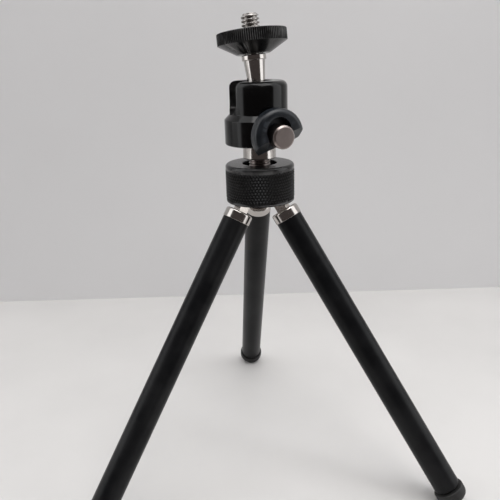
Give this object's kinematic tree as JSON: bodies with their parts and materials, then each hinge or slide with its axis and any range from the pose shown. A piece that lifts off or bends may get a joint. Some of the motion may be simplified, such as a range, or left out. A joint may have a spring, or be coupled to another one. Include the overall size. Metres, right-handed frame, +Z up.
{
  "type": "mini tabletop tripod with ball head",
  "caption": "Small tabletop tripod: telescoping tube legs on hinges under a knurled collar, and a slotted ball head with wing knob, locking disc and camera screw.",
  "frame": {"origin": "bottom centre of the whole object's box as it stands with its legs spread and closed up; the head's axis is 19.28 mm from it towards -Y", "axes": "+Z up along the head's axis, +Y towards the rear leg, -Y towards the wing knob's side, +X to the right leg's side"},
  "size_m": [0.1456, 0.1276, 0.1794],
  "materials": {
    "black_tube": "satin black anodised",
    "black_enamel": "glossy black",
    "black_knurl": "black, knurled",
    "black_plastic": "moulded, semi-gloss",
    "black_rubber": "matt",
    "nickel": "bright nickel plate",
    "steel": "turned",
    "brass": "sheet and turned brass",
    "nylon": "natural nylon"
  },
  "bodies": {
    "centre": {"leg_hub": "nickel", "left_hinge_pin": "steel", "right_hinge_pin": "steel", "rear_hinge_pin": "steel", "centre_post": "steel", "neck_bush": "nickel", "ball_housing": "black_enamel"},
    "left_leg": {"left_tongue": "nickel", "left_cap": "nickel", "left_outer_tube": "black_tube"},
    "left_middle": {"left_middle_tube": "nickel", "left_middle_sleeve": "brass"},
    "left_inner": {"left_inner_tube": "nickel", "left_inner_sleeve": "brass", "left_foot": "black_rubber"},
    "right_leg": {"right_tongue": "nickel", "right_cap": "nickel", "right_outer_tube": "black_tube"},
    "right_middle": {"right_middle_tube": "nickel", "right_middle_sleeve": "brass"},
    "right_inner": {"right_inner_tube": "nickel", "right_inner_sleeve": "brass", "right_foot": "black_rubber"},
    "rear_leg": {"rear_tongue": "nickel", "rear_cap": "nickel", "rear_outer_tube": "black_tube"},
    "rear_middle": {"rear_middle_tube": "nickel", "rear_middle_sleeve": "brass"},
    "rear_inner": {"rear_inner_tube": "nickel", "rear_inner_sleeve": "brass", "rear_foot": "black_rubber"},
    "collar_ring": {"friction_ring": "nylon"},
    "collar": {"knurled_collar": "black_knurl"},
    "washer": {"knob_washer": "steel"},
    "knob": {"wing_knob": "black_plastic", "clamp_spindle": "steel"},
    "plunger": {"clamp_plunger": "brass", "ball_cup": "nylon"},
    "ball": {"ball": "nickel"},
    "stem": {"stem": "nickel", "camera_screw": "nickel"},
    "pad": {"camera_pad": "black_rubber"},
    "disc": {"platform_disc": "black_knurl"}
  },
  "joints": [
    {"name": "left_leg_fold", "type": "hinge", "parent": "centre", "child": "left_leg", "pos_m": [-0.00546, -0.02243, 0.11574], "axis": [0.5, -0.866, 0], "range_deg": [0, 32.3]},
    {"name": "left_middle_slide", "type": "slide", "parent": "left_leg", "child": "left_middle", "axis": [-0.4679, -0.2701, -0.8415], "range_m": [0, 0.088]},
    {"name": "left_inner_slide", "type": "slide", "parent": "left_middle", "child": "left_inner", "axis": [-0.4679, -0.2701, -0.8415], "range_m": [0, 0.085]},
    {"name": "right_leg_fold", "type": "hinge", "parent": "centre", "child": "right_leg", "pos_m": [0.00546, -0.02243, 0.11574], "axis": [0.5, 0.866, 0], "range_deg": [0, 32.3]},
    {"name": "right_middle_slide", "type": "slide", "parent": "right_leg", "child": "right_middle", "axis": [0.4679, -0.2701, -0.8415], "range_m": [0, 0.088]},
    {"name": "right_inner_slide", "type": "slide", "parent": "right_middle", "child": "right_inner", "axis": [0.4679, -0.2701, -0.8415], "range_m": [0, 0.085]},
    {"name": "rear_leg_fold", "type": "hinge", "parent": "centre", "child": "rear_leg", "pos_m": [0, -0.01297, 0.11574], "axis": [-1, 0, 0], "range_deg": [0, 32.3]},
    {"name": "rear_middle_slide", "type": "slide", "parent": "rear_leg", "child": "rear_middle", "axis": [0, 0.5402, -0.8415], "range_m": [0, 0.088]},
    {"name": "rear_inner_slide", "type": "slide", "parent": "rear_middle", "child": "rear_inner", "axis": [0, 0.5402, -0.8415], "range_m": [0, 0.085]},
    {"name": "collar_travel", "type": "slide", "parent": "centre", "child": "collar_ring", "axis": [0, 0, 1], "range_m": [0, 0.00125]},
    {"name": "collar_turn", "type": "hinge", "parent": "collar_ring", "child": "collar", "pos_m": [0, -0.01928, 0.12102], "axis": [0, 0, 1], "range_deg": [0, 360]},
    {"name": "knob_travel", "type": "slide", "parent": "centre", "child": "washer", "axis": [0.342, -0.9397, 0], "range_m": [0, 0.0006]},
    {"name": "knob_turn", "type": "hinge", "parent": "washer", "child": "knob", "pos_m": [0.00434, -0.03121, 0.13954], "axis": [0.342, -0.9397, 0], "range_deg": [0, 270]},
    {"name": "plunger_travel", "type": "slide", "parent": "centre", "child": "plunger", "axis": [0, 0, -1], "range_m": [0, 0.0002]},
    {"name": "ball_tilt", "type": "hinge", "parent": "centre", "child": "ball", "pos_m": [0, -0.01928, 0.15004], "axis": [0.2118, -0.9715, 0.1063], "range_deg": [-9, 86]},
    {"name": "ball_spin", "type": "hinge", "parent": "ball", "child": "stem", "pos_m": [0, -0.01928, 0.15004], "axis": [-0.0735, 0.0926, 0.993], "continuous": true},
    {"name": "disc_travel", "type": "slide", "parent": "stem", "child": "pad", "axis": [-0.0735, 0.0926, 0.993], "range_m": [0, 0.00127]},
    {"name": "disc_turn", "type": "hinge", "parent": "pad", "child": "disc", "pos_m": [-0.00173, -0.0171, 0.17338], "axis": [-0.0735, 0.0926, 0.993], "range_deg": [0, 360]}
  ],
  "couplings": [
    {"joint": "collar_turn", "follows": "collar_travel", "rad_per_m": 5026.5},
    {"joint": "knob_turn", "follows": "knob_travel", "rad_per_m": 7854},
    {"joint": "plunger_travel", "follows": "knob_travel", "ratio": 0.3333},
    {"joint": "disc_turn", "follows": "disc_travel", "rad_per_m": 4947.4}
  ]
}
